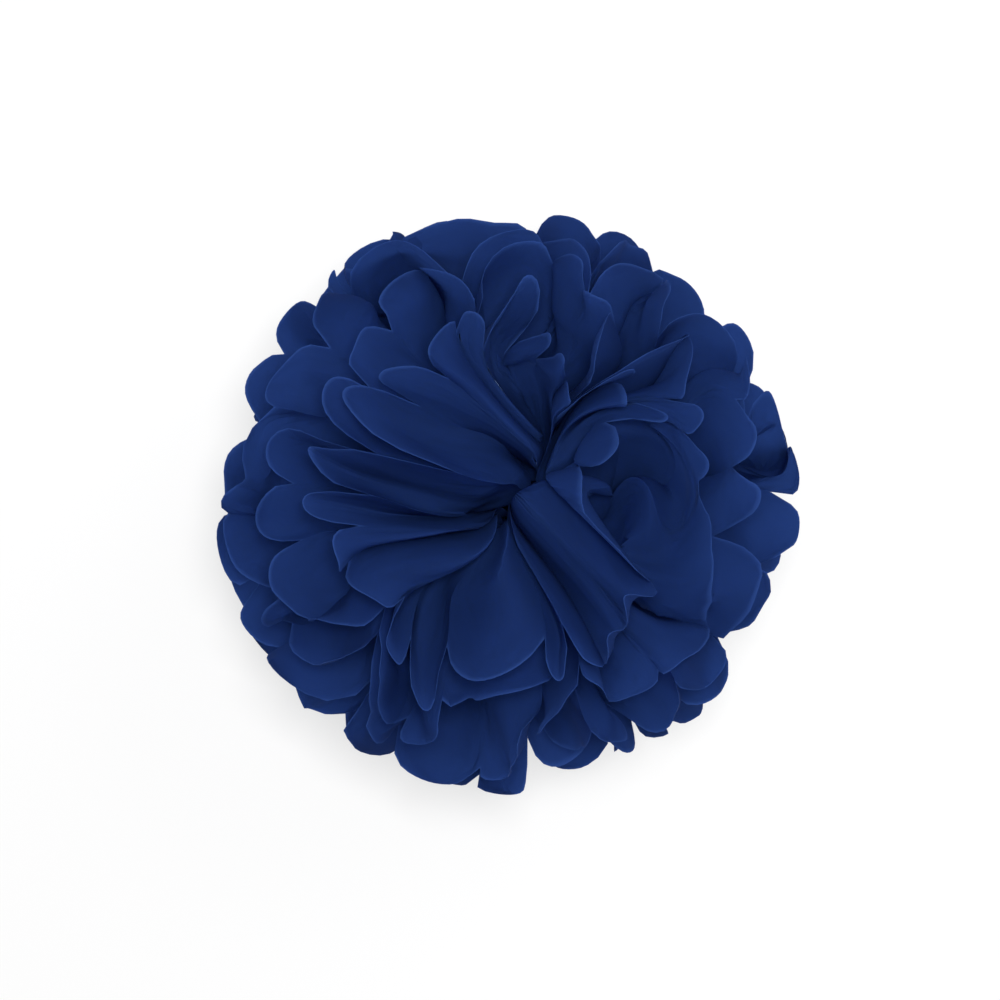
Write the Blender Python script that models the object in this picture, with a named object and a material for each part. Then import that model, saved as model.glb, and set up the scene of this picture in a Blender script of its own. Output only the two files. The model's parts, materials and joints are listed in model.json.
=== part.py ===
"""Tissue paper pom pom, as a Blender model.

Eight sheets of tissue are pleated together, tied round the middle with a wire, trimmed round
at both ends of the pleated strip and pulled apart layer by layer into a ball. The folds run
along X, so each sheet opens into one fan towards +X and one towards -X, and the sheets are
spread from the lowest, sheet_1, to the highest, sheet_8. Metres, +Z up, origin at the tie.
"""

import math
import random

import bpy
import numpy as np
from mathutils import Vector
from mathutils.bvhtree import BVHTree

# The sheets as they are cut: length along the folds, width across them, pleats over the width.
SHEETS = 8
PANELS = 12
SHEET_LENGTH = 0.250
SHEET_WIDTH = 0.500
TRIM_DEPTH = 0.015
PAPER = 0.0005
SHEET_GAP = 0.0003

# The spread: tip elevation of the outer sheets, extra lift at the tie, height of the tie.
TIP = math.radians(71.0)
LIFT = math.radians(8.0)
STAND_HEIGHT = 0.100

# Where the pleats start and how far out they stay gathered, as shares of a half sheet, how full
# they open and how flat the outer ones lie.
PLEAT_START = 0.05
GATHER_END = 0.55
FULLNESS = 0.97
NESTING = 0.1
STEEP_START = math.radians(66.0)
STEEP_MOST = math.radians(87.0)

# Loose folds: what the sheets of one half share keeps them nested, and each adds a little.
SEED = 11
LEAN = 0.45
AZIMUTH_SHARED = math.radians(2.5)
AZIMUTH_OWN = math.radians(0.25)
RISE_SHARED = math.radians(6.0)
RISE_OWN = math.radians(0.5)
CURL_LEAST = math.radians(2.0)
CURL_MOST = math.radians(12.0)
CURL_OWN = math.radians(3.0)
PUFF = 0.3
PUFF_ROOM = 0.2
LENGTH_LOOSE = 0.024

# Slow waves and swirls that carry all the sheets along together. Lengths are shares of REACH.
WAVES = 4
WAVE_LENGTH = 0.88
WAVE = 0.0336
SWIRLS = 90
SWIRL_SEED = 1
SWIRL_LEAST = 0.192
SWIRL_MOST = 0.384
SWIRL_TURN = math.radians(78.0)
SWIRL_NEAR = 0.624
SWIRL_FAR = 0.896
ROUND_START = 0.9
GROUND_BEND = 0.128

# Where the folds of the middle sheets lie round the rim, as azimuths in degrees, east half first.
RIM = (
    (-83, -70, -60, -47, -32, -20, -4, 11, 27, 42, 56, 72, 88),
    (88, 109, 120, 136, 149, 163, 183, 200, 216, 232, 247, 262, 277),
)

# The crown: where each fold of the top sheet points at CROWN_MARKS, which are shares of REACH,
# as pairs of azimuth and elevation in degrees, east half first. The sheets below follow less.
CROWN_MARKS = (0.112, 0.400, 0.640, 0.856)
CROWN_TURN_FADE = 0.7
CROWN_RISE_FADE = 1.4
CROWN = (
    (
        (-92, 68, -84, 62, -78, 56),
        (-82, 80, -78, 71, -72, 60),
        (-72, 66, -68, 58, -64, 53),
        (-50, 80, -48, 70, -50, 62),
        (-30, 64, -29, 58, -28.5, 55.8),
        (-12, 78, -10, 73, 4, 65),
        (12, 66, 17, 62, 19.5, 58),
        (24, 80, 26, 72, 29, 58),
        (37, 64, 39, 58, 41, 54),
        (50, 78, 50, 72, 50, 67),
        (62, 68, 60, 64, 60, 61),
        (86, 74, 79, 64, 70, 56),
        (93, 66, 87, 58, 80, 51),
    ),
    (
        (93, 66, 87, 58, 80, 51),
        (96, 74, 98, 62, 100, 55),
        (102, 68, 106, 60, 109, 53),
        (116, 78, 120, 69, 124, 58),
        (128, 66, 134, 60, 138, 53),
        (142, 80, 149, 73, 156, 63),
        (188, 70, 184, 63, 176, 56),
        (196, 80, 192, 68, 188, 57),
        (206, 66, 206, 58, 204, 52),
        (222, 78, 222, 70, 222, 64),
        (240, 66, 241, 59, 240, 55),
        (238, 80, 248, 68, 256, 59),
        (268, 68, 276, 62, 282, 56),
    ),
)

# The tie: a wire once round the bundle, its ends twisted together in the seam between the fans.
WAIST_WIDTH = 0.009
WIRE = 0.0009
WIRE_GAP = 0.0003
STRAND_GAP = 0.0001
TWIST_LENGTH = 0.008
TWIST_TURNS = 2
TWIST_STEPS = 8
BEND_STEPS = 3

# Faces: rows along a half sheet as shares of its length, and steps across a panel in them.
NECK = 0.11
ROWS = ((0.11, 2), (0.40, 2), (0.62, 2), (0.82, 2), (1.0, 4))
CREASE_ANGLE = math.radians(40.0)

# How the sheets settle where two of them would touch: at most so many rounds, the share of its
# looseness that each keeps in one, and how far they are moved in one and in all.
SETTLE_ROUNDS = 80
SETTLE_SHARE = 0.9
SETTLE_STEP = 0.0002
SETTLE_MOST = 0.004

PAPER_COLOUR = (0.0086, 0.0232, 0.0953, 1.0)
WIRE_COLOUR = (0.42, 0.43, 0.44, 1.0)

REACH = SHEET_LENGTH / 2
PANEL_WIDTH = SHEET_WIDTH / PANELS
PANEL_ANGLE = math.pi / PANELS
MIDDLE = (SHEETS - 1) / 2
SPACING = TIP / MIDDLE
PITCH = PAPER + SHEET_GAP
GROUND = PAPER / 2 - STAND_HEIGHT
STRAND_OFFSET = (WIRE + STRAND_GAP) / 2
SEAM_HALF = STRAND_OFFSET + WIRE / 2 + WIRE_GAP + PAPER


def smooth(x):
    """An easing from 0 to 1."""
    x = np.clip(x, 0, 1)
    return x * x * (3 - 2 * x)


def unit(ways):
    return ways / np.maximum(np.linalg.norm(ways, axis=-1, keepdims=True), 1e-12)


def direction(azimuth, up):
    return np.stack(
        [np.cos(up) * np.cos(azimuth), np.cos(up) * np.sin(azimuth), np.sin(up)], -1
    )


def wave_list():
    """Slow waves through the ball: (wave vector, way it moves points, phase)."""
    chance = random.Random(SEED + 500)
    found = []
    for _ in range(WAVES):
        way = unit(np.array([chance.gauss(0, 1) for _ in range(3)]))
        move = np.array([chance.gauss(0, 1) for _ in range(3)])
        move = unit(move - way * (move @ way) * 0.7)
        length = WAVE_LENGTH * REACH / chance.uniform(0.7, 1.3)
        found.append((way * 2 * math.pi / length, move, chance.uniform(0, 2 * math.pi)))
    return found


def swirl_list():
    """Balls of space that turn a little, most at their middles: (middle, reach, axis, turn)."""
    chance = random.Random(SWIRL_SEED)
    found = []
    for n in range(SWIRLS):
        azimuth = n * math.pi * (3 - math.sqrt(5)) + chance.uniform(-0.3, 0.3)
        up = math.asin((2 * (n + 0.5) / SWIRLS - 1) * 0.93)
        middle = direction(azimuth, up) * chance.uniform(SWIRL_NEAR, SWIRL_FAR) * REACH
        reach = chance.uniform(SWIRL_LEAST, SWIRL_MOST) * REACH
        axis = unit(np.array([chance.gauss(0, 1) for _ in range(3)]))
        turn = chance.choice((-1, 1)) * chance.uniform(0.45, 1) * SWIRL_TURN
        found.append((middle, reach, axis, turn))
    return found


def sway(points):
    """Moves points with the slow waves, which fade out toward the tie."""
    fade = smooth(np.linalg.norm(points, axis=-1) / (0.64 * REACH) - 0.15)
    moved = points.copy()
    for wave, move, phase in wave_list():
        moved += (WAVE * REACH * fade * np.sin(points @ wave + phase))[..., None] * move
    return moved


def swirl(points):
    """Turns points with the swirls, each of which turns round shells of its ball, so no two sheets meet."""
    points = points.copy()
    for middle, reach, axis, turn in swirl_list():
        arm = points - middle
        off = (arm**2).sum(-1) / reach**2
        near = off < 1
        arm = arm[near]
        angle = (turn * (1 - off[near]) ** 2)[..., None]
        along = axis * (arm @ axis)[..., None]
        turned = arm * np.cos(angle) + np.cross(axis, arm) * np.sin(angle)
        points[near] = middle + turned + along * (1 - np.cos(angle))
    return points


def rounded(points):
    """Draws in the points that stand out of the ball, so that its outline stays round."""
    far = np.linalg.norm(points, axis=-1, keepdims=True)
    over = np.maximum(far / REACH - ROUND_START, 0) / (1 - ROUND_START)
    held = REACH * (ROUND_START + (1 - ROUND_START) * np.tanh(over))
    return points * np.where(over > 0, held / far, 1.0)


def on_ground(points):
    """Petals that come near the ground bend along it and keep their length."""
    low = points[..., 2:]
    deep = GROUND_BEND * REACH
    over = np.minimum((low - GROUND) / deep - 1, 0)
    level = np.where(over < 0, GROUND + deep * np.exp(over), low)
    flat = np.hypot(points[..., 0], points[..., 1])[..., None]
    want = np.sqrt(np.maximum(flat**2 + low**2 - level**2, 0))
    return np.concatenate([points[..., :2] * want / np.maximum(flat, 1e-9), level], -1)


def calm_course(points):
    """The points with nothing but the ball's outline and the ground to hold them."""
    return on_ground(rounded(points))


def loose_course(points):
    """The points carried along by the waves and swirls as well."""
    return on_ground(rounded(swirl(sway(points))))


def upright(up):
    """Elevations held short of straight up and straight down."""
    over = np.maximum(np.abs(up) - STEEP_START, 0) / (STEEP_MOST - STEEP_START)
    steep = STEEP_START + (STEEP_MOST - STEEP_START) * np.tanh(over)
    return np.where(over > 0, np.sign(up) * steep, up)


def crown_ways():
    """For each side, the directions of the top sheet's folds at CROWN_MARKS."""
    found = []
    for side, rows in enumerate(CROWN):
        ways = []
        for j, row in enumerate(rows):
            start = math.pi * (j / PANELS - 0.5)
            azimuth = np.append(start, np.radians(row[0::2]) - math.pi * side)
            ways.append(direction(azimuth, np.append(TIP + LIFT, np.radians(row[1::2]))))
        found.append(np.array(ways))
    return found


def along_crown(ways, v):
    """The direction at the distance v on a smooth line through the directions at CROWN_MARKS."""
    marks = np.array(CROWN_MARKS) * REACH
    v = max(v, marks[0])
    last = len(marks) - 1
    k = min(max(int(np.searchsorted(marks, v, side="right")) - 1, 0), last - 1)
    u = (v - marks[k]) / (marks[k + 1] - marks[k])
    before, start, end, after = (ways[min(max(n, 0), last)] for n in (k - 1, k, k + 1, k + 2))
    beyond = max(u - 1, 0)
    u = min(u, 1)
    out, into = (end - before) / 2, (after - start) / 2
    point = (2 * u**3 - 3 * u**2 + 1) * start + (3 * u**2 - 2 * u**3) * end
    point = point + (u**3 - 2 * u**2 + u) * out + (u**3 - u**2) * into
    return unit(point + 0.8 * beyond * into)


class Sheet:
    """How one sheet lies: its height in the stack, and where each fold and panel has strayed."""

    def __init__(self, number):
        self.number = number
        self.level = (number - MIDDLE) / MIDDLE
        self.freedom = self.level**2
        self.waist_z = (number - MIDDLE) * PITCH
        self.waist_x = math.sqrt(((MIDDLE + 1) * PITCH) ** 2 - self.waist_z**2)
        self.crown = crown_ways()
        self.top = self if number == SHEETS - 1 else Sheet(SHEETS - 1)
        self.folds = []
        self.panels = []
        for side in (0, 1):
            shared = random.Random(SEED + 200 + 10 * int(number >= SHEETS / 2) + side)
            chance = random.Random(SEED + 10 * number + side)
            self.folds.append([self.loose_fold(side, j, shared, chance) for j in range(PANELS + 1)])
            self.panels.append([self.loose_panel(shared, chance) for _ in range(PANELS)])

    def loose_fold(self, side, j, shared, chance):
        """(azimuth, rise, curl) of fold j."""
        lean = shared.uniform(-LEAN, LEAN) * abs(self.level)
        stray = shared.uniform(-1, 1) * AZIMUTH_SHARED + chance.uniform(-1, 1) * AZIMUTH_OWN
        azimuth = math.radians(RIM[side][j]) - math.pi * side
        azimuth += PANEL_ANGLE * (lean if j % 2 else 0)
        azimuth += stray if 0 < j < PANELS else 0
        rise = chance.uniform(-1, 1) * RISE_OWN + shared.uniform(-1, 1) * RISE_SHARED
        curl = shared.uniform(CURL_LEAST, CURL_MOST)
        curl += chance.uniform(-1, 1) * CURL_OWN * self.freedom
        return azimuth, rise, curl

    def loose_panel(self, shared, chance):
        """(puff, curl, extra length) of one panel between two folds."""
        puff = chance.uniform(-PUFF, PUFF)
        curl = shared.uniform(CURL_LEAST, CURL_MOST) + chance.uniform(-1, 1) * CURL_OWN
        return puff, curl, chance.uniform(-1, 1) * LENGTH_LOOSE * REACH

    def spread(self, share):
        return self.level * (TIP + LIFT * (1 - share**3))

    def pleat(self, share, v):
        """Half the height of the pleats as an angle, from panels that keep their width."""
        width = PANEL_WIDTH * FULLNESS * (0.12 + 0.88 * smooth(share / GATHER_END))
        chord = 2 * v * np.cos(self.spread(share)) * math.sin(PANEL_ANGLE / 2)
        height = np.sqrt(np.maximum(width**2 - chord**2, 0.0)) / 2 / v
        return height * (1 - NESTING * self.freedom) * smooth((share - PLEAT_START) / 0.25)

    def outward(self, curl, share):
        return self.level * abs(self.level) ** 0.5 * curl * smooth((share - 0.45) / 0.55)

    def fold(self, side, j, v):
        """The direction of fold j at the distance v from the tie, the crown's course included."""
        azimuth, up = self.plain_fold(side, j, v)
        if self.level > 0:
            plain_azimuth, plain_up = self.top.plain_fold(side, j, v)
            way = along_crown(self.crown[side][j], v)
            turn = (math.atan2(way[1], way[0]) - plain_azimuth + math.pi) % (2 * math.pi) - math.pi
            azimuth = azimuth + turn * self.level**CROWN_TURN_FADE
            rise = math.atan2(way[2], math.hypot(way[0], way[1])) - plain_up
            up = up + rise * self.level**CROWN_RISE_FADE
        return direction(azimuth, up)

    def plain_fold(self, side, j, v):
        """Azimuth and elevation of fold j at the distance v from the tie, but for the crown."""
        azimuth, rise, curl = self.folds[side][j]
        share = v / REACH
        ridge = 1 if j % 2 else -1
        up = self.spread(share) + ridge * self.pleat(share, v)
        up = up + rise * smooth((share - 0.05) / 0.4) - self.outward(curl, share)
        even = PANEL_ANGLE * j - math.pi / 2
        return even + (azimuth - even) * smooth((share - NECK) / 0.3), upright(up)

    def middle(self, side, i, v):
        """The direction of panel i's middle at the distance v, puffed to one side of its two folds."""
        puff, curl, _ = self.panels[side][i]
        share = v / REACH
        first = self.fold(side, i, v)
        last = self.fold(side, i + 1, v)
        chord = last - first
        width = np.linalg.norm(chord) * v
        step = 2 * v * np.cos(self.spread(share)) * math.sin(PANEL_ANGLE / 2)
        room = PUFF_ROOM * SPACING * v * min(step / width, 1.0)
        slack = max(PANEL_WIDTH - width, 0.0)
        bulge = puff * min(math.sqrt(0.375 * width * slack), room)
        centre = unit(first + last)
        way = centre + unit(np.cross(chord, centre)) * (bulge / v)
        up = math.atan2(way[2], math.hypot(way[0], way[1]))
        mean = (self.folds[side][i][2] + self.folds[side][i + 1][2]) / 2
        up = up - self.outward(curl - mean, share)
        return direction(math.atan2(way[1], way[0]), up)

    def place(self, side, way, v):
        """The point at the distance v along this direction, each half a little off the seam."""
        seam = SEAM_HALF * (1 - 0.6 * smooth(v / REACH * 3 - 0.4))
        sign = -1 if side else 1
        point = way * v
        return np.array([sign * (seam + point[0]), sign * point[1], point[2]])

    def row(self, side, share, steps):
        """One row of points across a fan, with this many steps in each panel."""
        arc = ((PANEL_WIDTH / 2) ** 2 + TRIM_DEPTH**2) / 2 / TRIM_DEPTH
        points = []
        for step in range(PANELS * steps + 1):
            i = min(step // steps, PANELS - 1)
            t = step / steps - i
            trim = arc - math.sqrt(arc**2 - ((t - 0.5) * PANEL_WIDTH) ** 2)
            v = share * (REACH + self.panels[side][i][2] * 4 * t * (1 - t) - trim)
            first = self.place(side, self.fold(side, i, v), v)
            mid = self.place(side, self.middle(side, i, v), v)
            last = self.place(side, self.fold(side, i + 1, v), v)
            points.append(first * (1 - t) * (1 - 2 * t) + mid * 4 * t * (1 - t) + last * t * (2 * t - 1))
        return np.array(points)

    def waist(self, side, steps):
        """The edge of the flat strip under the tie."""
        way = -1 if side else 1
        count = PANELS * steps
        across = way * WAIST_WIDTH * (np.arange(count + 1) / count - 0.5)
        return np.stack(
            [np.full_like(across, way * self.waist_x), across, np.full_like(across, self.waist_z)], -1
        )

    def points(self, course):
        """All the points of the sheet, one fan after the other, each from the tie outwards."""
        found = []
        for side in (0, 1):
            found.append(self.waist(side, ROWS[0][1]))
            found += [course(self.row(side, share, steps)) for share, steps in ROWS]
        return np.concatenate(found)


def stitch(near, far):
    """Triangles between two rows of points, where the far row has as many steps or twice as many."""
    found = []
    for n in range(len(near) - 1):
        if len(far) == len(near):
            found.append((near[n], far[n], far[n + 1]))
            found.append((near[n], far[n + 1], near[n + 1]))
        else:
            found.append((near[n], far[2 * n], far[2 * n + 1]))
            found.append((near[n], far[2 * n + 1], near[n + 1]))
            found.append((near[n + 1], far[2 * n + 1], far[2 * n + 2]))
    return found


def sheet_faces():
    """The triangles of a sheet as numbers of its points, which are the same for every sheet."""
    found = []
    waists = []
    start = 0
    for _ in range(2):
        rows = []
        for steps in (ROWS[0][1],) + tuple(steps for _, steps in ROWS):
            count = PANELS * steps + 1
            rows.append(list(range(start, start + count)))
            start += count
        for near, far in zip(rows, rows[1:]):
            found += stitch(near, far)
        waists.append(rows[0])
    return found + stitch(list(reversed(waists[1])), waists[0])


def walls(points, faces, off):
    """The points of a sheet's two walls, this far from its middle."""
    corners = points[faces]
    across = unit(np.cross(corners[:, 1] - corners[:, 0], corners[:, 2] - corners[:, 0]))
    ways = np.zeros_like(points)
    for n in range(3):
        edges = unit(corners - corners[:, n : n + 1])[:, [(n + 1) % 3, (n + 2) % 3]]
        angle = np.arccos(np.clip((edges[:, 0] * edges[:, 1]).sum(-1), -1, 1))
        np.add.at(ways, faces[:, n], across * angle[:, None])
    ways = unit(ways) * off
    return np.concatenate([points + ways, points - ways])


def settled(calm, loose, faces):
    """The sheets' points once neighbours are at least SHEET_GAP apart.

    Where two sheets come closer, each goes back a little from its loose course to its calm one
    and is moved away from the other. The necks stay as they are.
    """
    count = len(calm[0])
    free = np.linalg.norm(calm[0], axis=-1) > 2 * NECK * REACH
    outer = faces[free[faces].any(axis=1)]
    both = np.concatenate([outer, outer + count]).tolist()
    share = [np.ones((count, 1)) for _ in calm]
    moved = [np.zeros((count, 3)) for _ in calm]
    for _ in range(SETTLE_ROUNDS):
        sheets = [a + (b - a) * c + d for a, b, c, d in zip(calm, loose, share, moved)]
        nets = [
            BVHTree.FromPolygons(walls(points, faces, PITCH / 2).tolist(), both)
            for points in sheets
        ]
        still = True
        for low, high in zip(range(SHEETS - 1), range(1, SHEETS)):
            pairs = np.array(nets[low].overlap(nets[high])) % len(outer)
            if not len(pairs):
                continue
            still = False
            apart = unit(sheets[high] - sheets[low])
            for number, side, way in ((low, 0, -1), (high, 1, 1)):
                touched = np.unique(outer[pairs[:, side]])
                touched = touched[free[touched]]
                share[number][touched] *= SETTLE_SHARE
                push = moved[number][touched] + way * SETTLE_STEP * apart[touched]
                far = np.linalg.norm(push, axis=-1, keepdims=True)
                moved[number][touched] = push * np.minimum(1, SETTLE_MOST / np.maximum(far, SETTLE_STEP))
        if still:
            break
    return sheets


def sheet_object(number, points, faces, material):
    """One pleated sheet: both fans and the strip under the tie in one piece."""
    mesh = bpy.data.meshes.new(f"sheet_{number + 1}")
    mesh.from_pydata(points.tolist(), [], faces.tolist())
    mesh.shade_smooth()
    mesh.set_sharp_from_angle(angle=CREASE_ANGLE)
    mesh.materials.append(material)
    obj = bpy.data.objects.new(mesh.name, mesh)
    bpy.context.scene.collection.objects.link(obj)
    wall = obj.modifiers.new("paper", "SOLIDIFY")
    wall.thickness = PAPER
    wall.offset = 0.0
    return obj


def bend(before, corner, after, radius):
    """The points of a wire's round bend at a corner, in the plane x = 0."""
    first, last = (before - corner).normalized(), (after - corner).normalized()
    centre = corner + (first + last) * radius
    start, end = -last, -first
    turn = start.angle(end)
    points = []
    for n in range(BEND_STEPS + 1):
        share = n / BEND_STEPS
        way = (start * math.sin((1 - share) * turn) + end * math.sin(share * turn)) / math.sin(turn)
        points.append(centre + way * radius)
    return points


def twist(way, near):
    """The points of one strand of the twisted tail, outwards from the loop."""
    points = []
    count = TWIST_TURNS * TWIST_STEPS
    for n in range(count + 1):
        turn = 2 * math.pi * n / TWIST_STEPS
        across = Vector((math.sin(turn), 0, math.cos(turn))) * way * STRAND_OFFSET
        points.append(across + Vector((0, near + TWIST_LENGTH * n / count, 0)))
    return points


def wire_tie(material):
    """The wire: a loop round the bundle and its two ends twisted together along +Y."""
    off = WIRE_GAP + WIRE / 2
    wide = WAIST_WIDTH / 2 + off
    high = PITCH * MIDDLE + PAPER / 2 + off
    near = wide + 2 * off
    corners = [
        Vector((0, y, z))
        for y, z in (
            (near, STRAND_OFFSET),
            (wide, STRAND_OFFSET),
            (wide, high),
            (-wide, high),
            (-wide, -high),
            (wide, -high),
            (wide, -STRAND_OFFSET),
            (near, -STRAND_OFFSET),
        )
    ]
    path = list(reversed(twist(1, near)))
    for before, corner, after in zip(corners, corners[1:], corners[2:]):
        path += bend(before, corner, after, off)
    path += twist(-1, near)
    curve = bpy.data.curves.new("wire_tie", "CURVE")
    curve.dimensions = "3D"
    curve.bevel_depth = WIRE / 2
    curve.bevel_resolution = 1
    curve.use_fill_caps = True
    spline = curve.splines.new("POLY")
    spline.points.add(len(path) - 1)
    for point, place in zip(spline.points, path):
        point.co = (*place, 1.0)
    curve.materials.append(material)
    obj = bpy.data.objects.new("wire_tie", curve)
    bpy.context.scene.collection.objects.link(obj)
    return obj


def material(name, colour, roughness, metallic):
    made = bpy.data.materials.new(name)
    made.use_nodes = True
    shader = made.node_tree.nodes["Principled BSDF"]
    shader.inputs["Base Color"].default_value = colour
    shader.inputs["Roughness"].default_value = roughness
    shader.inputs["Metallic"].default_value = metallic
    made.diffuse_color = colour
    return made


def main():
    for obj in list(bpy.data.objects):
        bpy.data.objects.remove(obj)
    tissue = material("tissue", PAPER_COLOUR, 0.9, 0.0)
    faces = np.array(sheet_faces())
    sheets = [Sheet(number) for number in range(SHEETS)]
    calm = [sheet.points(calm_course) for sheet in sheets]
    loose = [sheet.points(loose_course) for sheet in sheets]
    for number, points in enumerate(settled(calm, loose, faces)):
        sheet_object(number, points, faces, tissue)
    wire_tie(material("tie_wire", WIRE_COLOUR, 0.35, 1.0))


if __name__ == "__main__":
    main()
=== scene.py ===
"""A tissue paper pom pom: the folded sheets, the wire that ties them, and the plain stage they stand on."""

import json
import math
import random

import bpy
import numpy as np
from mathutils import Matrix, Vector

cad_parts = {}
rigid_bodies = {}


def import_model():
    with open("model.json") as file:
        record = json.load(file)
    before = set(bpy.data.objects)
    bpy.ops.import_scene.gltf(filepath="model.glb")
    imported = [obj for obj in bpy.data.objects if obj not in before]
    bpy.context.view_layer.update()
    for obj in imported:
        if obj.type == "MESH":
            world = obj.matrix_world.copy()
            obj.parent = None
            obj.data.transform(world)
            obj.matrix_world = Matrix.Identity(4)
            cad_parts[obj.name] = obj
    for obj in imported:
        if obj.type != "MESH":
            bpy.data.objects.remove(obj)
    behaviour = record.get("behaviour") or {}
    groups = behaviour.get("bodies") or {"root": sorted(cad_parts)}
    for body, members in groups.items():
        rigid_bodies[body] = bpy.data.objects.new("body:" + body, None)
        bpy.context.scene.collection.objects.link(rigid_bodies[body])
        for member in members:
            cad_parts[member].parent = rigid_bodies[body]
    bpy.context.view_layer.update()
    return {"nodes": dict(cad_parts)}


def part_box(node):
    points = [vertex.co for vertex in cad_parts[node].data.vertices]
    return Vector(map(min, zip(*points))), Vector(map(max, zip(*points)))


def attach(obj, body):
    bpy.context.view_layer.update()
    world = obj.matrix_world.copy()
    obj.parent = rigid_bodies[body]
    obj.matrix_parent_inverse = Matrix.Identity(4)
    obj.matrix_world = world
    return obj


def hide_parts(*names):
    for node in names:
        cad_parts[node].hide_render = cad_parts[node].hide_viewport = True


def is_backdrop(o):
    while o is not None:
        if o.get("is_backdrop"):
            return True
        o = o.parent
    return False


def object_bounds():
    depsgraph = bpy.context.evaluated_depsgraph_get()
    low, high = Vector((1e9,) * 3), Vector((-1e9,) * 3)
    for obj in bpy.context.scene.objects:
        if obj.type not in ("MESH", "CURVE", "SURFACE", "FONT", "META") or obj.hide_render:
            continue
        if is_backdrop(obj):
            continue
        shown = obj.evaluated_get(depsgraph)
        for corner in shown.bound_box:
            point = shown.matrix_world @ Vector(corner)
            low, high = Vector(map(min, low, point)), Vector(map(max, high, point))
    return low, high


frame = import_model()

bl_info = {
    "name": "Tissue Pom Pom",
    "version": (1, 0, 0),
    "blender": (4, 5, 0),
    "location": "3D View > Sidebar > Pom Pom",
    "description": "Folds, ties and fluffs sheets of dyed tissue into a ball",
    "category": "Add Mesh",
}

SHEET_NODES = sorted(name for name in frame["nodes"] if name.startswith("sheet_"))
TIE_NODE = "wire_tie"
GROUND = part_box(SHEET_NODES[0])[0][2]

# The sheets lie on each other, PAPER_STEP apart in the tie, and are folded in PANELS panels.
SHEETS = len(SHEET_NODES)
PANELS = 12
PAPER_STEP = 0.0008

# How the sheets stand when the ball is fluffed. Starts, ends and eases are shares of the way from
# the tie to the rim, and GATHERED is the share of its width that a panel has at the tie.
TIP = math.radians(71.0)
LIFT = math.radians(8.0)
PLEAT_START = 0.05
PLEAT_EASE = 0.25
GATHERED = 0.12
GATHER_END = 0.55
FULLNESS = 0.97
NESTING = 0.1
STEEP_START = math.radians(66)
STEEP_MOST = math.radians(87)
SEED = 11
LEAN = 0.45
AZIMUTH_SHARED = math.radians(2.5)
AZIMUTH_OWN = math.radians(0.25)
RISE_SHARED = math.radians(6.0)
RISE_OWN = math.radians(0.5)
RISE_START = 0.05
RISE_EASE = 0.4
CURL_START = 0.45
CURL_LEAST = math.radians(2.0)
CURL_MOST = math.radians(16.0)
CURL_OWN = math.radians(3.0)
PUFF = 0.25
PUFF_ROOM = 0.2
LENGTH_LOOSE = 0.003
CROWDING = 0.5
CROWD_START = 0.1
CROWD_EASE = 0.5

# Where the sheets pass through the tie, the folds evenly spaced up to the neck.
WAIST_WIDTH = 0.009
NECK = 0.11
NECK_EASE = 0.3
SEAM_HALF = 0.0002
SEAM_CLOSING = 0.6

# Slow waves, fine ripples and swirls that carry all the sheets along together. A fade is the
# distance over which they set in and where that starts, as a share of that distance.
WAVES = 4
WAVE_LENGTH = 0.11
WAVE = 0.0042
WAVE_FADE = (0.08, 0.15)
RIPPLES = 6
RIPPLE_LENGTH = 0.022
RIPPLE = 0.0006
RIPPLE_FADE = (0.05, 1.2)
SWIRLS = 90
SWIRL_SEED = 1
SWIRL_POLES = 0.93
SWIRL_LEAST = 0.024
SWIRL_MOST = 0.048
SWIRL_TURN = math.radians(78)
SWIRL_NEAR = 0.078
SWIRL_FAR = 0.112

# Crown petals that lean in over the tie: azimuth in degrees, distance from the middle line and
# height of the middle of the lean, its reach, and the way in degrees and distance it moves them.
LEANS = (
    (149, 0.033, 0.080, 0.055, -14, 0.034),
    (-82, 0.035, 0.088, 0.042, 96, 0.024),
    (-5, 0.038, 0.085, 0.040, 178, 0.018),
    (-40, 0.030, 0.094, 0.038, 130, 0.023),
    (195, 0.030, 0.094, 0.036, -15, 0.018),
)

# The share of the reach from which points are drawn in, and the height over the ground at which
# petals start to bend along it.
ROUND_START = 0.9
GROUND_BEND = 0.016

# Where the folds of the middle sheets lie round the rim, as azimuths in degrees, east half first.
RIM = (
    (-83, -70, -60, -47, -32, -20, -4, 11, 27, 42, 56, 72, 88),
    (88, 109, 120, 136, 149, 163, 183, 200, 216, 232, 247, 262, 277),
)

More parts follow.
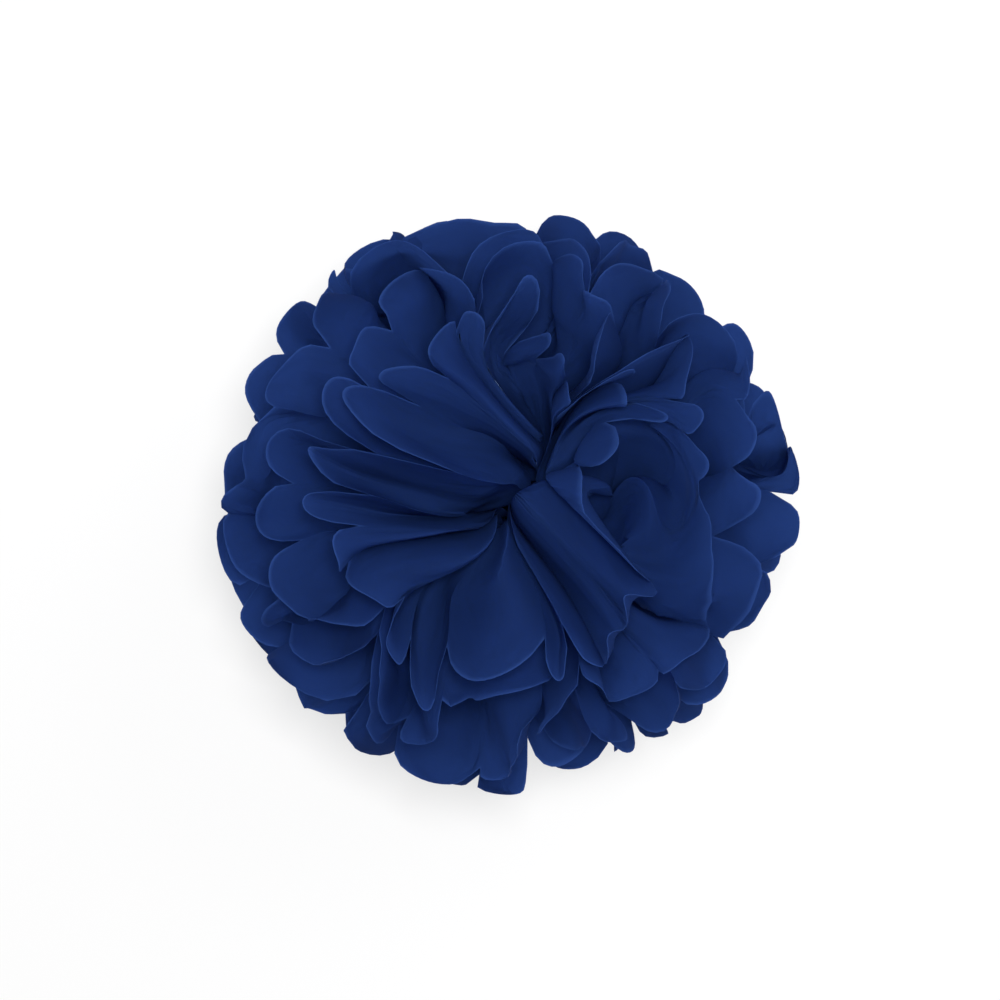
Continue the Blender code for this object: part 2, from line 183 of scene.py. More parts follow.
# The crown: where each fold of the top sheet points at CROWN_MARKS from the tie, as pairs of
# azimuth and elevation in degrees, east half first. The sheets under it follow less and less.
CROWN_MARKS = (0.014, 0.050, 0.080, 0.107)
CROWN_TURN_FADE = 0.7
CROWN_RISE_FADE = 1.4
CROWN = (
    (
        (-92, 68, -84, 62, -78, 56),
        (-82, 80, -78, 71, -72, 60),
        (-72, 66, -68, 58, -64, 53),
        (-50, 80, -48, 70, -50, 62),
        (-30, 64, -29, 58, -28.5, 55.8),
        (-12, 78, -10, 73, 4, 65),
        (12, 66, 17, 62, 19.5, 58),
        (24, 80, 26, 72, 29, 58),
        (37, 64, 39, 58, 41, 54),
        (50, 78, 50, 72, 50, 67),
        (62, 68, 60, 64, 60, 61),
        (86, 74, 79, 64, 70, 56),
        (93, 66, 87, 58, 80, 51),
    ),
    (
        (93, 66, 87, 58, 80, 51),
        (96, 74, 98, 62, 100, 55),
        (102, 68, 106, 60, 109, 53),
        (116, 78, 120, 69, 124, 58),
        (128, 66, 134, 60, 138, 53),
        (142, 80, 149, 73, 156, 63),
        (188, 70, 184, 63, 176, 56),
        (196, 80, 192, 68, 188, 57),
        (206, 66, 206, 58, 204, 52),
        (222, 78, 222, 70, 222, 64),
        (240, 66, 241, 59, 240, 55),
        (238, 80, 248, 68, 256, 59),
        (268, 68, 276, 62, 282, 56),
    ),
)

# The mesh of a sheet. Edges sharper than CREASE_ANGLE stay creases.
CREASE_ANGLE = math.radians(24)
COLUMNS_PER_PANEL = 12
NECK_ROWS = 3
BODY_ROWS = 42

# The stage: places and sizes of the lamps, the floor's size, its gap under the lowest petal and the
# share of plain white that it shows the camera, and how far the camera stands left of the middle.
KEY_PLACE = (0.05, 0.09, 1.25)
KEY_SIZE = 0.30
FILL_PLACE = (0.70, 0.60, 0.80)
FILL_SIZE = 0.80
FLOOR_SIZE = 4.0
FLOOR_GAP = 0.0003
FLOOR_GLOW = 0.65
CAMERA_LEFT = 0.003

MM = 0.001


def smooth(x):
    """Eases from 0 to 1 and stays there."""
    x = np.clip(x, 0, 1)
    return x * x * (3 - 2 * x)


def unit(ways):
    """These directions at length 1."""
    return ways / np.linalg.norm(ways, axis=-1, keepdims=True)


def direction(azimuth, up):
    """The direction of that azimuth and elevation."""
    return np.stack(
        [np.cos(up) * np.cos(azimuth), np.cos(up) * np.sin(azimuth), np.sin(up)], -1
    )


def wave_list(seed, count, usual):
    """Waves through the ball of about a usual length: (wave vector, way it moves points, phase)."""
    chance = random.Random(seed)
    found = []
    for _ in range(count):
        way = unit(np.array([chance.gauss(0, 1) for _ in range(3)]))
        move = np.array([chance.gauss(0, 1) for _ in range(3)])
        move = unit(move - way * (move @ way) * 0.7)
        length = usual / chance.uniform(0.7, 1.3)
        found.append((way * 2 * math.pi / length, move, chance.uniform(0, 2 * math.pi)))
    return found


def swirl_list():
    """Balls of space that turn a little, most at their middles: (middle, reach, axis, turn)."""
    chance = random.Random(SWIRL_SEED)
    found = []
    for n in range(SWIRLS):
        azimuth = n * math.pi * (3 - math.sqrt(5)) + chance.uniform(-0.3, 0.3)
        up = math.asin((2 * (n + 0.5) / SWIRLS - 1) * SWIRL_POLES)
        middle = direction(azimuth, up) * chance.uniform(SWIRL_NEAR, SWIRL_FAR)
        reach = chance.uniform(SWIRL_LEAST, SWIRL_MOST)
        axis = unit(np.array([chance.gauss(0, 1) for _ in range(3)]))
        turn = chance.choice((-1, 1)) * chance.uniform(0.45, 1) * SWIRL_TURN
        found.append((middle, reach, axis, turn))
    return found


def lean(points):
    """Moves points in over the tie, each lean most at its middle."""
    for azimuth, away, height, reach, way, far in LEANS:
        middle = direction(math.radians(azimuth), 0.0) * away + (0, 0, height)
        off = np.minimum(((points - middle) ** 2).sum(-1) / reach**2, 1)
        points = points + direction(math.radians(way), 0.0) * (far * (1 - off) ** 2)[..., None]
    return points


def sway(points):
    """Moves points with the slow waves and fine ripples, which fade out toward the tie."""
    far = np.linalg.norm(points, axis=-1)
    moved = points.copy()
    for waves, height, (over, start) in (
        (wave_list(SEED + 500, WAVES, WAVE_LENGTH), WAVE, WAVE_FADE),
        (wave_list(SEED + 600, RIPPLES, RIPPLE_LENGTH), RIPPLE, RIPPLE_FADE),
    ):
        fade = smooth(far / over - start)
        for wave, move, phase in waves:
            moved += (height * fade * np.sin(points @ wave + phase))[..., None] * move
    return moved


def swirl(points):
    """Turns points with the swirls. Each one turns round shells of its ball, so no two sheets meet."""
    points = points.copy()
    for middle, reach, axis, turn in swirl_list():
        arm = points - middle
        off = (arm**2).sum(-1) / reach**2
        near = off < 1
        arm = arm[near]
        angle = (turn * (1 - off[near]) ** 2)[..., None]
        along = axis * (arm @ axis)[..., None]
        turned = arm * np.cos(angle) + np.cross(axis, arm) * np.sin(angle)
        points[near] = middle + turned + along * (1 - np.cos(angle))
    return points


def rounded(points, reach):
    """Draws in the points that stand out of the ball, so that its outline stays round."""
    far = np.linalg.norm(points, axis=-1, keepdims=True)
    over = np.maximum(far / reach - ROUND_START, 0) / (1 - ROUND_START)
    held = reach * (ROUND_START + (1 - ROUND_START) * np.tanh(over))
    return points * np.where(over > 0, held / far, 1.0)


def crowding():
    """For each side and fold, the levels of all the sheets from -1 to 1, closer here and wider there."""
    chance = random.Random(SEED + 300)
    found = []
    for _ in range(2):
        phases = [[chance.uniform(0, 2 * math.pi) for _ in range(3)] for _ in range(SHEETS - 1)]
        rows = []
        for j in range(PANELS + 1):
            x = j / PANELS * 2 * math.pi
            gaps = []
            for a, b, c in phases:
                swing = 0.5 * math.sin(1.7 * x + a) + 0.5 * math.sin(3.1 * x + b)
                swing += 0.35 * math.sin(4.7 * x + c)
                gaps.append(1 + CROWDING * max(-1, min(1, swing)))
            rows.append(np.concatenate([[0], np.cumsum(gaps)]) * 2 / sum(gaps) - 1)
        found.append(np.array(rows))
    return found


def upright(up):
    """Elevations held short of straight up and straight down."""
    over = np.maximum(np.abs(up) - STEEP_START, 0) / (STEEP_MOST - STEEP_START)
    steep = STEEP_START + (STEEP_MOST - STEEP_START) * np.tanh(over)
    return np.where(over > 0, np.sign(up) * steep, up)


def crown_ways():
    """For each side, the directions of the top sheet's folds at CROWN_MARKS."""
    found = []
    for side, rows in enumerate(CROWN):
        ways = []
        for j, row in enumerate(rows):
            start = math.pi * (j / PANELS - 0.5)
            azimuth = np.append(start, np.radians(row[0::2]) - math.pi * side)
            ways.append(direction(azimuth, np.append(TIP + LIFT, np.radians(row[1::2]))))
        found.append(np.array(ways))
    return found


def along_crown(ways, v):
    """The direction at the distance v on a smooth line through the directions at CROWN_MARKS."""
    marks = np.array(CROWN_MARKS)
    v = np.maximum(v, marks[0])
    last = len(marks) - 1
    k = np.clip(np.searchsorted(marks, v, side="right") - 1, 0, last - 1)
    u = ((v - marks[k]) / (marks[k + 1] - marks[k]))[..., None]

    def at(n):
        n = np.clip(n, 0, last)[..., None, None]
        return np.take_along_axis(ways, n, axis=-2)[..., 0, :]

    before, start, end, after = at(k - 1), at(k), at(k + 1), at(k + 2)
    beyond = np.maximum(u - 1, 0)
    u = np.minimum(u, 1)
    out, into = (end - before) / 2, (after - start) / 2
    point = (2 * u**3 - 3 * u**2 + 1) * start + (3 * u**2 - 2 * u**3) * end
    point = point + (u**3 - 2 * u**2 + u) * out + (u**3 - u**2) * into
    return unit(point + 0.8 * beyond * into)


class Sheet:
    """The course of one sheet, from the flat paper to the fluffed ball."""

    def __init__(self, number, look):
        middle = (SHEETS - 1) / 2
        self.number = number
        self.level = (number - middle) / middle
        self.freedom = self.level**2
        self.spacing = TIP / middle
        self.waist_z = (number - middle) * PAPER_STEP
        self.reach = look.sheet_length / 2
        self.panel_width = look.sheet_width / PANELS
        self.panel_angle = math.pi / PANELS
        self.trim = look.trim_depth
        self.levels = crowding()
        self.crown = crown_ways()
        self.top = self if number == SHEETS - 1 else Sheet(SHEETS - 1, look)
        self.folds = []
        self.panels = []
        for side in (0, 1):
            shared = random.Random(SEED + 200 + 10 * int(number >= SHEETS / 2) + side)
            chance = random.Random(SEED + 10 * number + side)
            folds = [self.loose_fold(side, j, shared, chance) for j in range(PANELS + 1)]
            panels = [self.loose_panel(shared, chance) for _ in range(PANELS)]
            self.folds.append(np.array(folds))
            self.panels.append(np.array(panels))

    def loose_fold(self, side, j, shared, chance):
        """(azimuth, rise, curl) of fold j. What is shared keeps the sheets of one half nested."""
        lean = shared.uniform(-LEAN, LEAN) * abs(self.level)
        stray = shared.uniform(-1, 1) * AZIMUTH_SHARED + chance.uniform(-1, 1) * AZIMUTH_OWN
        azimuth = math.radians(RIM[side][j]) - math.pi * side
        azimuth += self.panel_angle * (lean if j % 2 else 0)
        azimuth += stray if 0 < j < PANELS else 0
        rise = chance.uniform(-1, 1) * RISE_OWN + shared.uniform(-1, 1) * RISE_SHARED
        curl = shared.uniform(CURL_LEAST, CURL_MOST)
        curl += chance.uniform(-1, 1) * CURL_OWN * self.freedom
        return azimuth, rise, curl

    def loose_panel(self, shared, chance):
        """(puff, curl, extra length) of one panel between two folds."""
        puff = chance.uniform(-PUFF, PUFF)
        curl = shared.uniform(CURL_LEAST, CURL_MOST) + chance.uniform(-1, 1) * CURL_OWN
        return puff, curl, chance.uniform(-1, 1) * LENGTH_LOOSE

    def spread(self, share, level):
        """How far a sheet of this level stands up or down, a little steeper near the tie."""
        return level * (TIP + LIFT * (1 - share**3))

    def pleat(self, share, v):
        """Half the height of the pleats as an angle, from panels that keep their width."""
        gathered = GATHERED + (1 - GATHERED) * smooth(share / GATHER_END)
        width = self.panel_width * FULLNESS * gathered
        chord = 2 * v * np.cos(self.spread(share, self.level)) * math.sin(self.panel_angle / 2)
        height = np.sqrt(np.maximum(width**2 - chord**2, 0.0)) / 2 / v
        return height * (1 - NESTING * self.freedom) * smooth((share - PLEAT_START) / PLEAT_EASE)

    def outward(self, curl, share):
        """How far a curl has bent the paper away from the crown or the base, the more the outer sheets."""
        set_in = smooth((share - CURL_START) / (1 - CURL_START))
        return self.level * abs(self.level) ** 0.5 * curl * set_in

    def fold(self, side, j, v):
        """The direction of fold j at the distance v from the tie, the crown's course included."""
        azimuth, up = self.plain_fold(side, j, v)
        if self.level > 0:
            plain_azimuth, plain_up = self.top.plain_fold(side, j, v)
            way = along_crown(self.crown[side][j], v)
            way_azimuth = np.arctan2(way[..., 1], way[..., 0])
            way_up = np.arctan2(way[..., 2], np.hypot(way[..., 0], way[..., 1]))
            turn = (way_azimuth - plain_azimuth + math.pi) % (2 * math.pi) - math.pi
            azimuth = azimuth + turn * self.level**CROWN_TURN_FADE
            up = up + (way_up - plain_up) * self.level**CROWN_RISE_FADE
        return direction(azimuth, up)

    def plain_fold(self, side, j, v):
        """Azimuth and elevation of fold j at the distance v from the tie, but for the crown."""
        azimuth, rise, curl = self.folds[side][j].T
        azimuth, rise, curl = azimuth.T, rise.T, curl.T
        share = v / self.reach
        ridge = np.where(j % 2 == 1, 1.0, -1.0)
        level = self.levels[side][j, self.number] - self.level
        level = self.level + level * smooth((share - CROWD_START) / CROWD_EASE)
        up = self.spread(share, level) + ridge * self.pleat(share, v)
        up = up + rise * smooth((share - RISE_START) / RISE_EASE) - self.outward(curl, share)
        even = self.panel_angle * j - math.pi / 2
        return even + (azimuth - even) * smooth((share - NECK) / NECK_EASE), upright(up)

    def middle(self, side, i, v):
        """The direction of panel i's middle at the distance v, puffed to one side of its two folds.

        A strip that is longer than the gap between its folds bulges as a flat arc, by the root of
        three eighths of the gap times the slack.
        """
        puff, curl, _ = self.panels[side][i].T
        puff, curl = puff.T, curl.T
        share = v / self.reach
        first = self.fold(side, i, v)
        last = self.fold(side, i + 1, v)
        chord = last - first
        width = np.linalg.norm(chord, axis=-1) * v
        step = 2 * v * np.cos(self.spread(share, self.level)) * math.sin(self.panel_angle / 2)
        room = PUFF_ROOM * self.spacing * v * np.minimum(step / width, 1.0)
        slack = np.maximum(self.panel_width - width, 0.0)
        bulge = puff * np.minimum(np.sqrt(3 / 8 * width * slack), room)
        centre = unit(first + last)
        way = centre + unit(np.cross(chord, centre)) * (bulge / v)[..., None]
        up = np.arctan2(way[..., 2], np.hypot(way[..., 0], way[..., 1]))
        mean = (self.folds[side][i, 2] + self.folds[side][i + 1, 2]) / 2
        up = up - self.outward(curl - mean, share)
        return direction(np.arctan2(way[..., 1], way[..., 0]), up)

    def place(self, side, ways, v):
        """Points at the distance v along these directions, each half off the seam, less so outward."""
        seam = SEAM_HALF * (1 - SEAM_CLOSING * smooth(v / self.reach * 3 - 0.4))
        way = -1 if side else 1
        point = ways * v[..., None]
        return np.stack([way * (seam + point[..., 0]), way * point[..., 1], point[..., 2]], -1)

    def surface(self, side, s, share):
        """Points of one half at s folds across and a share of the way out."""
        i = np.minimum(s.astype(int), PANELS - 1)
        t = s - i
        arc = ((self.panel_width / 2) ** 2 + self.trim**2) / 2 / self.trim
        trim = arc - np.sqrt(arc**2 - ((t - 0.5) * self.panel_width) ** 2)
        extra = self.panels[side][i][..., 2] * 4 * t * (1 - t)
        v = share * (self.reach + extra - trim)
        first = self.place(side, self.fold(side, i, v), v)
        middle = self.place(side, self.middle(side, i, v), v)
        last = self.place(side, self.fold(side, i + 1, v), v)
        t = t[..., None]
        points = first * (1 - t) * (1 - 2 * t) + middle * 4 * t * (1 - t) + last * t * (2 * t - 1)
        return self.on_ground(rounded(lean(swirl(sway(points))), self.reach))

    def on_ground(self, points):
        """Petals that come near the ground bend along it and keep their length."""
        low = points[..., 2:]
        over = np.minimum((low - GROUND) / GROUND_BEND - 1, 0)
        level = np.where(over < 0, GROUND + GROUND_BEND * np.exp(over), low)
        flat = np.hypot(points[..., 0], points[..., 1])[..., None]
        want = np.sqrt(np.maximum(flat**2 + low**2 - level**2, 0))
        return np.concatenate([points[..., :2] * want / np.maximum(flat, 1e-9), level], -1)

    def fluffed(self, u, w):
        """Where the flat sheet's points go: u from 0 to 1 across the pleats, w from -1 to 1 end to end."""
        points = np.empty(u.shape + (3,))
        for side in (0, 1):
            half = (w >= 0) if side == 0 else (w < 0)
            s = PANELS * (u[half] if side == 0 else 1 - u[half])
            share = np.abs(w[half])
            waist = np.stack(
                [np.zeros_like(s), WAIST_WIDTH * (u[half] - 0.5), np.full_like(s, self.waist_z)], -1
            )
            body = self.surface(side, s, np.maximum(share, NECK))
            near = np.clip(share / NECK, 0, 1)[..., None]
            points[half] = waist * (1 - near) + body * near
        return points


def linear(colour):
    """Linear red, green, blue and alpha of an sRGB hex colour."""
    shares = [int(colour[k : k + 2], 16) / 255 for k in (1, 3, 5)]
    return tuple(c / 12.92 if c <= 0.04045 else ((c + 0.055) / 1.055) ** 2.4 for c in shares) + (1.0,)


def add(tree, kind, settings=None, **links):
    """A node of that kind with its settings, its inputs set to values or linked to sockets."""
    node = tree.nodes.new(kind)
    for name, value in (settings or {}).items():
        setattr(node, name, value)
    for name, value in links.items():
        key = int(name[1:]) if name[0] == "n" and name[1:].isdigit() else name.replace("_", " ")
        socket = node.inputs[key]
        if isinstance(value, bpy.types.NodeSocket):
            tree.links.new(value, socket)
        else:
            socket.default_value = value
    return node


def new_material(name):
    """An empty material and its node tree."""
    material = bpy.data.materials.new(name)
    material.use_nodes = True
    tree = material.node_tree
    for node in list(tree.nodes):
        tree.nodes.remove(node)
    return material, tree


def tissue_material(look):
    """Dyed tissue: thin unsized paper, matt, with cloudy fibres, that light passes through.

    It was dyed in the pulp and dried on a smooth cylinder, so it has hardly any gloss and a cloudy
    colour some millimetres wide. Folding and pulling apart left it finely creased. A paler band at
    the sheet's cut ends is a painted highlight that stands in for light passing through the thin
    edge. Lit from behind it glows. Its fibres are far finer than a pixel, so they are drawn as
    tufts that are just wide enough to show. All of it lies on the flat sheet.
    """
    material, tree = new_material("dyed_tissue_paper")
    where = add(tree, "ShaderNodeTexCoord")
    mm = add(
        tree,
        "ShaderNodeMapping",
        Vector=where.outputs["UV"],
        Scale=(look.sheet_width / MM, look.sheet_length / MM, 1.0),
    )
    flat = {"noise_dimensions": "2D"}
    cloud = add(
        tree, "ShaderNodeTexNoise", flat,
        Vector=mm.outputs[0], Scale=1 / look.cloud_size * MM, Detail=3.0,
    )
    fibre = add(
        tree, "ShaderNodeTexNoise", flat,
        Vector=mm.outputs[0], Scale=1 / look.fibre_size * MM, Detail=2.0,
    )
    mottle = add(
        tree, "ShaderNodeMix", {"data_type": "FLOAT"},
        Factor=0.45, n2=cloud.outputs[0], n3=fibre.outputs[0],
    )
    tone = add(tree, "ShaderNodeMapRange", Value=mottle.outputs[0], From_Min=0.3, From_Max=0.7)
    colour = add(
        tree,
        "ShaderNodeMix",
        {"data_type": "RGBA"},
        n0=tone.outputs[0],
        n6=linear(look.deep_colour),
        n7=linear(look.paper_colour),
    )
    # Painted highlight: a paler band along both cut ends of the sheet, standing in for light that passes
    # through the thin paper edge.
    half = look.sheet_length / 2
    parts = add(tree, "ShaderNodeSeparateXYZ", n0=mm.outputs[0])
    along = add(tree, "ShaderNodeMath", {"operation": "SUBTRACT"}, n0=parts.outputs[1], n1=half / MM)
    away = add(tree, "ShaderNodeMath", {"operation": "ABSOLUTE"}, n0=along.outputs[0])
    edge = add(
        tree, "ShaderNodeMapRange", Value=away.outputs[0],
        From_Min=(half - look.edge_width) / MM, From_Max=half / MM, To_Max=0.6,
    )
    edge_highlighted = add(
        tree, "ShaderNodeMix", {"data_type": "RGBA"},
        n0=edge.outputs[0], n6=colour.outputs[2], n7=linear(look.edge_highlight_colour),
    )
    bend = add(
        tree, "ShaderNodeTexNoise", flat,
        Vector=mm.outputs[0], Scale=0.7 / look.crease_size * MM, Detail=2.0,
    )
    bent = add(
        tree, "ShaderNodeVectorMath", {"operation": "MULTIPLY_ADD"},
        n0=bend.outputs["Color"], n1=(0.9 * look.crease_size / MM,) * 3, n2=mm.outputs[0],
    )
    creases = add(
        tree,
        "ShaderNodeMapping",
        Vector=bent.outputs[0],
        Scale=(1 / look.crease_size * MM, 0.8 / look.crease_size * MM, 1.0),
    )
    facets = add(
        tree, "ShaderNodeTexVoronoi", {"feature": "DISTANCE_TO_EDGE", "voronoi_dimensions": "2D"},
        Vector=creases.outputs[0], Scale=0.6,
    )
    fine = add(tree, "ShaderNodeTexNoise", flat, Vector=creases.outputs[0], Scale=2.0, Detail=3.0)
    height = add(
        tree, "ShaderNodeMath", {"operation": "MULTIPLY_ADD"},
        n0=fine.outputs[0], n1=0.15, n2=facets.outputs[0],
    )
    bump = add(
        tree, "ShaderNodeBump", Strength=0.28, Distance=look.crease_depth, Height=height.outputs[0]
    )
    paper = add(
        tree,
        "ShaderNodeBsdfPrincipled",
        Base_Color=edge_highlighted.outputs[2],
        Roughness=0.85,
        Specular_IOR_Level=0.08,
        Normal=bump.outputs[0],
    )
    through = add(
        tree, "ShaderNodeBsdfTranslucent", Color=linear(look.through_colour), Normal=bump.outputs[0]
    )
    mix = add(tree, "ShaderNodeMixShader", n0=look.see_through, n1=paper.outputs[0], n2=through.outputs[0])
    add(tree, "ShaderNodeOutputMaterial", Surface=mix.outputs[0])
    return material


def wire_material(look):
    """Annealed iron binding wire: drawn, soft, dull grey, with faint lines along it."""
    material, tree = new_material("annealed_binding_wire")
    where = add(tree, "ShaderNodeTexCoord")
    marks = add(tree, "ShaderNodeTexNoise", Vector=where.outputs["Object"], Scale=0.9 / MM, Detail=3.0)
    rough = add(
        tree, "ShaderNodeMapRange", Value=marks.outputs[0],
        From_Min=0.3, From_Max=0.7, To_Min=0.5, To_Max=0.65,
    )
    bump = add(tree, "ShaderNodeBump", Strength=0.3, Distance=0.02 * MM, Height=marks.outputs[0])
    wire = add(
        tree,
        "ShaderNodeBsdfPrincipled",
        Base_Color=linear(look.wire_colour),
        Metallic=1.0,
        Roughness=rough.outputs[0],
        Normal=bump.outputs[0],
    )
    add(tree, "ShaderNodeOutputMaterial", Surface=wire.outputs[0])
    return material


def deselect():
    for obj in bpy.context.view_layer.objects:
        obj.select_set(False)


def set_active(obj):
    deselect()
    obj.select_set(True)
    bpy.context.view_layer.objects.active = obj


def row_places():
    """The rows of the sheet's mesh from -1 to 1: close together at the tie and even beyond it."""
    neck = [NECK * k / NECK_ROWS for k in range(NECK_ROWS)]
    body = [NECK + (1 - NECK) * k / BODY_ROWS for k in range(BODY_ROWS + 1)]
    half = neck + body
    return np.array([-w for w in half[:0:-1]] + half)


def fold_sheet(number, look):
    """One sheet, flat at first, then pleated, tied and fluffed, and given its thickness."""
    rows = row_places()
    columns = PANELS * COLUMNS_PER_PANEL
    deselect()
    bpy.ops.mesh.primitive_grid_add(
        x_subdivisions=columns, y_subdivisions=len(rows) - 1, size=2, location=(0, 0, 0)
    )
    obj = bpy.context.object
    obj.name = f"tissue_{number + 1}"
    mesh = obj.data
    mesh.name = obj.name
    flat = np.empty(len(mesh.vertices) * 3)
    mesh.vertices.foreach_get("co", flat)
    flat = flat.reshape(-1, 3)
    row = np.rint((flat[:, 1] + 1) / 2 * (len(rows) - 1)).astype(int)
    points = Sheet(number, look).fluffed((flat[:, 0] + 1) / 2, rows[row])
    mesh.vertices.foreach_set("co", points.ravel())
    mesh.update()
    set_active(obj)
    bpy.ops.object.shade_smooth()
    wall = obj.modifiers.new("paper", "SOLIDIFY")
    wall.thickness = look.paper
    wall.offset = 0
    wall.use_rim = True
    bpy.ops.object.modifier_apply(modifier=wall.name)
    bpy.ops.object.shade_smooth_by_angle(angle=CREASE_ANGLE)
    return obj


class PomPomLook(bpy.types.PropertyGroup):
    """The sizes and colours of the sheets and their tie."""

    sheet_length: bpy.props.FloatProperty(
        name="Sheet length", description="Length of a sheet along its pleats", default=0.250,
        min=0.05, unit="LENGTH",
    )
    sheet_width: bpy.props.FloatProperty(
        name="Sheet width", description="Width of a sheet across its pleats", default=0.500,
        min=0.1, unit="LENGTH",
    )
    trim_depth: bpy.props.FloatProperty(
        name="Trim depth", description="How far the folds end short of the round petal ends", default=0.015,
        min=0.0, unit="LENGTH",
    )
    paper: bpy.props.FloatProperty(
        name="Paper", description="Thickness of the paper, several times the real one", default=0.00012,
        min=0.00002, unit="LENGTH",
    )
    cloud_size: bpy.props.FloatProperty(
        name="Cloud size", description="Width of the cloudy patches in the paper", default=0.009,
        unit="LENGTH",
    )
    fibre_size: bpy.props.FloatProperty(
        name="Fibre size", description="Length of the tufts of fibre", default=0.0016, unit="LENGTH",
    )
    crease_size: bpy.props.FloatProperty(
        name="Crease size", description="Distance between fine creases", default=0.012, unit="LENGTH",
    )
    crease_depth: bpy.props.FloatProperty(
        name="Crease depth", description="Depth of the fine creases", default=0.0015, unit="LENGTH",
    )
    see_through: bpy.props.FloatProperty(
        name="See through", description="Share of the light that passes through", default=0.62,
        min=0.0, max=1.0, subtype="FACTOR",
    )
    paper_colour: bpy.props.StringProperty(
        name="Paper colour", description="Colour of the paper where it is dense", default="#1F386F",
    )
    deep_colour: bpy.props.StringProperty(
        name="Deep colour", description="Colour of the paper in its darker clouds", default="#1B3263",
    )
    # Painted highlight: width and colour of the paler band at the sheet's cut ends, which stands in for
    # light passing through the thin edge.
    edge_width: bpy.props.FloatProperty(
        name="Edge width", description="Width of the paler, highlit cut edge", default=0.002, unit="LENGTH",
    )
    edge_highlight_colour: bpy.props.StringProperty(
        name="Edge colour", description="Colour of the highlit cut edge", default="#3F62A8",
    )
    through_colour: bpy.props.StringProperty(
        name="Through colour", description="Colour of light that has passed through", default="#728FC5",
    )
    wire_colour: bpy.props.StringProperty(
        name="Wire colour", description="Colour of the binding wire", default="#3B3D42",
    )


class PomPomStage(bpy.types.PropertyGroup):
    """The floor, the lights and the camera."""

    camera_height: bpy.props.FloatProperty(
        name="Camera height", description="Height of the camera over the tie", default=1.0, unit="LENGTH",
    )
    lens: bpy.props.FloatProperty(
        name="Lens", description="Focal length of the camera in millimetres", default=84.8,
    )
    floor_colour: bpy.props.StringProperty(
        name="Floor colour", description="Colour of the plain floor", default="#F4F4F4",
    )
    sky: bpy.props.FloatProperty(
        name="Sky", description="Strength of the even light from all round", default=0.28, min=0.0,
    )
    key: bpy.props.FloatProperty(
        name="Key light", description="Power of the soft light beside the camera, in watts",
        default=15.4,
    )
    fill: bpy.props.FloatProperty(
        name="Fill light", description="Power of the light from the side, in watts", default=4.0,
    )


class FoldTissue(bpy.types.Operator):
    """Fold the sheets of tissue and fluff them into a ball"""

    bl_idname = "pompom.fold_tissue"
    bl_label = "Fold the Tissue"

    def execute(self, context):
        look = context.scene.pompom_look
        paper = tissue_material(look)
        for number, node in enumerate(SHEET_NODES):
            sheet = fold_sheet(number, look)
            sheet.data.materials.append(paper)
            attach(sheet, "root")
            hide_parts(node)
        return {"FINISHED"}


class FinishTie(bpy.types.Operator):
    """Give the wire tie its metal"""

    bl_idname = "pompom.finish_tie"
    bl_label = "Finish the Tie"

    def execute(self, context):
        tie = frame["nodes"][TIE_NODE]
        tie.data.materials.clear()
        tie.data.materials.append(wire_material(context.scene.pompom_look))
        return {"FINISHED"}


class SetStage(bpy.types.Operator):
    """Lay the floor, place the lights and set the camera"""

    bl_idname = "pompom.set_stage"
    bl_label = "Set the Stage"

    def execute(self, context):
        settings = context.scene.pompom_stage
        lay_floor(settings)
        light_sky(context.scene, settings)
        hang_light("key", KEY_PLACE, KEY_SIZE, settings.key)
        hang_light("fill", FILL_PLACE, FILL_SIZE, settings.fill)
        set_camera(context.scene, settings)
        context.scene.view_settings.view_transform = "Standard"
        return {"FINISHED"}


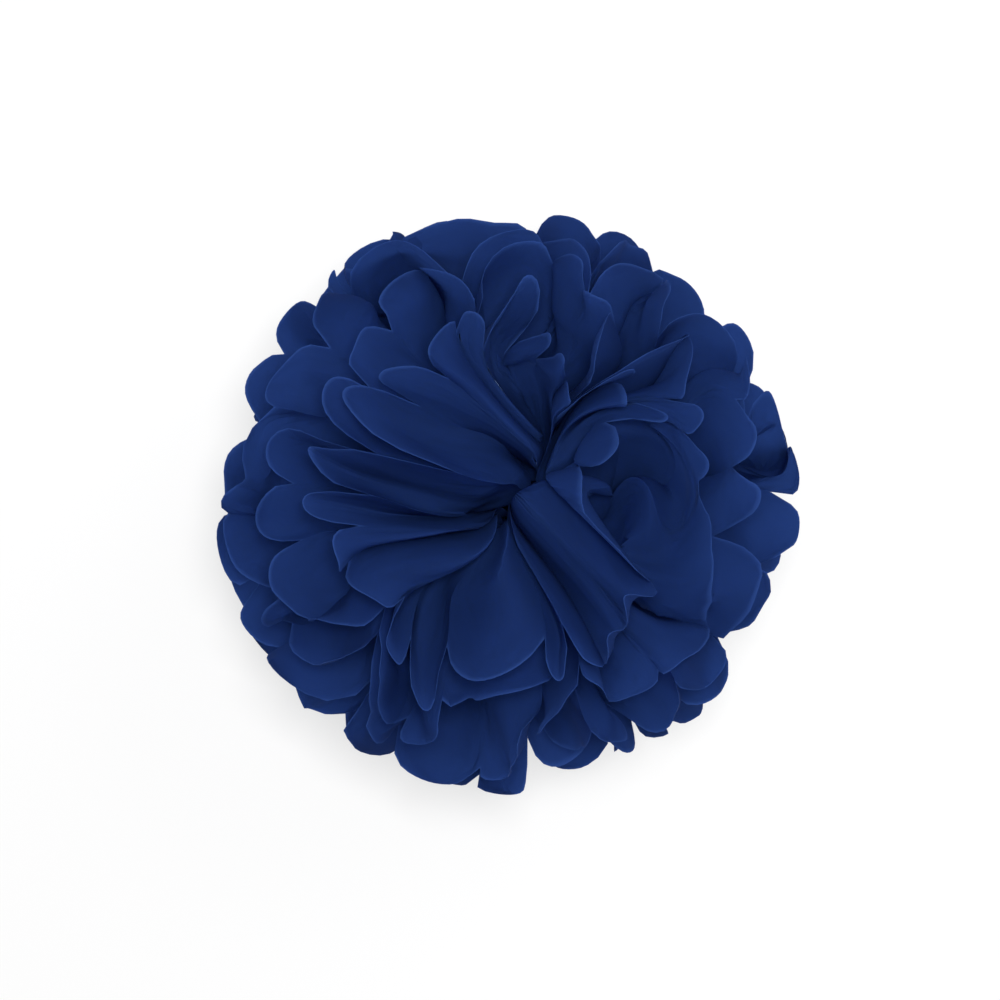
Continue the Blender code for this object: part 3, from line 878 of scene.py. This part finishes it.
def lay_floor(settings):
    """A plain pale floor just under the lowest petal, that shows nearly white but for the shadow."""
    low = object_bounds()[0][2]
    deselect()
    bpy.ops.mesh.primitive_plane_add(size=FLOOR_SIZE, location=(0, 0, 0))
    floor = bpy.context.object
    floor.name = "floor"
    for corner in floor.data.vertices:
        corner.co.z = low - FLOOR_GAP
    material, tree = new_material("plain_floor")
    paint = add(tree, "ShaderNodeBsdfPrincipled", Base_Color=linear(settings.floor_colour), Roughness=0.9)
    glow = add(tree, "ShaderNodeEmission", Color=(1.0, 1.0, 1.0, 1.0), Strength=1.0)
    ray = add(tree, "ShaderNodeLightPath")
    seen = add(
        tree, "ShaderNodeMath", {"operation": "MULTIPLY"}, n0=ray.outputs["Is Camera Ray"], n1=FLOOR_GLOW
    )
    mix = add(tree, "ShaderNodeMixShader", n0=seen.outputs[0], n1=paint.outputs[0], n2=glow.outputs[0])
    add(tree, "ShaderNodeOutputMaterial", Surface=mix.outputs[0])
    floor.data.materials.append(material)
    floor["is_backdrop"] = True


def light_sky(scene, settings):
    """Even light from all round, and plain white where the camera or a reflection sees it."""
    world = bpy.data.worlds.new("studio")
    world.use_nodes = True
    scene.world = world
    tree = world.node_tree
    for node in list(tree.nodes):
        tree.nodes.remove(node)
    dim = add(tree, "ShaderNodeBackground", Color=(1.0, 1.0, 1.0, 1.0), Strength=settings.sky)
    white = add(tree, "ShaderNodeBackground", Color=(1.0, 1.0, 1.0, 1.0), Strength=1.0)
    ray = add(tree, "ShaderNodeLightPath")
    most = add(
        tree, "ShaderNodeMath", {"operation": "MAXIMUM"},
        n0=ray.outputs["Is Camera Ray"], n1=ray.outputs["Is Glossy Ray"],
    )
    seen = add(
        tree, "ShaderNodeMath", {"operation": "MAXIMUM"},
        n0=most.outputs[0], n1=ray.outputs["Is Transmission Ray"],
    )
    mix = add(tree, "ShaderNodeMixShader", n0=seen.outputs[0], n1=dim.outputs[0], n2=white.outputs[0])
    add(tree, "ShaderNodeOutputWorld", Surface=mix.outputs[0])


def hang_light(name, place, size, power):
    """A square lamp at that place that faces the middle of the ball."""
    lamp = bpy.data.lights.new(name, "AREA")
    lamp.size = size
    lamp.energy = power
    obj = bpy.data.objects.new(name, lamp)
    obj.location = place
    obj.rotation_euler = (-Vector(place)).to_track_quat("-Z", "Y").to_euler()
    bpy.context.scene.collection.objects.link(obj)


def set_camera(scene, settings):
    """Straight above the ball and a little to its left, its seams up and down in the picture."""
    camera = bpy.data.cameras.new("camera")
    camera.lens = settings.lens
    obj = bpy.data.objects.new("camera", camera)
    obj.location = (-CAMERA_LEFT, 0, settings.camera_height)
    scene.collection.objects.link(obj)
    scene.camera = obj


class PomPomPanel(bpy.types.Panel):
    """The sizes, the colours and the steps that make the pom pom"""

    bl_idname = "VIEW3D_PT_pompom"
    bl_label = "Pom Pom"
    bl_space_type = "VIEW_3D"
    bl_region_type = "UI"
    bl_category = "Pom Pom"

    def draw(self, context):
        layout = self.layout
        for settings in (context.scene.pompom_look, context.scene.pompom_stage):
            column = layout.column(align=True)
            for name in settings.bl_rna.properties.keys():
                if name not in ("rna_type", "name"):
                    column.prop(settings, name)
        for step in STEPS:
            layout.operator(step.bl_idname)


STEPS = (FoldTissue, FinishTie, SetStage)
CLASSES = (PomPomLook, PomPomStage) + STEPS + (PomPomPanel,)


def register():
    for each in CLASSES:
        bpy.utils.register_class(each)
    bpy.types.Scene.pompom_look = bpy.props.PointerProperty(type=PomPomLook)
    bpy.types.Scene.pompom_stage = bpy.props.PointerProperty(type=PomPomStage)


def unregister():
    del bpy.types.Scene.pompom_stage
    del bpy.types.Scene.pompom_look
    for each in reversed(CLASSES):
        bpy.utils.unregister_class(each)


def main():
    register()
    bpy.ops.pompom.fold_tissue()
    bpy.ops.pompom.finish_tie()
    bpy.ops.pompom.set_stage()


if __name__ == "__main__":
    main()
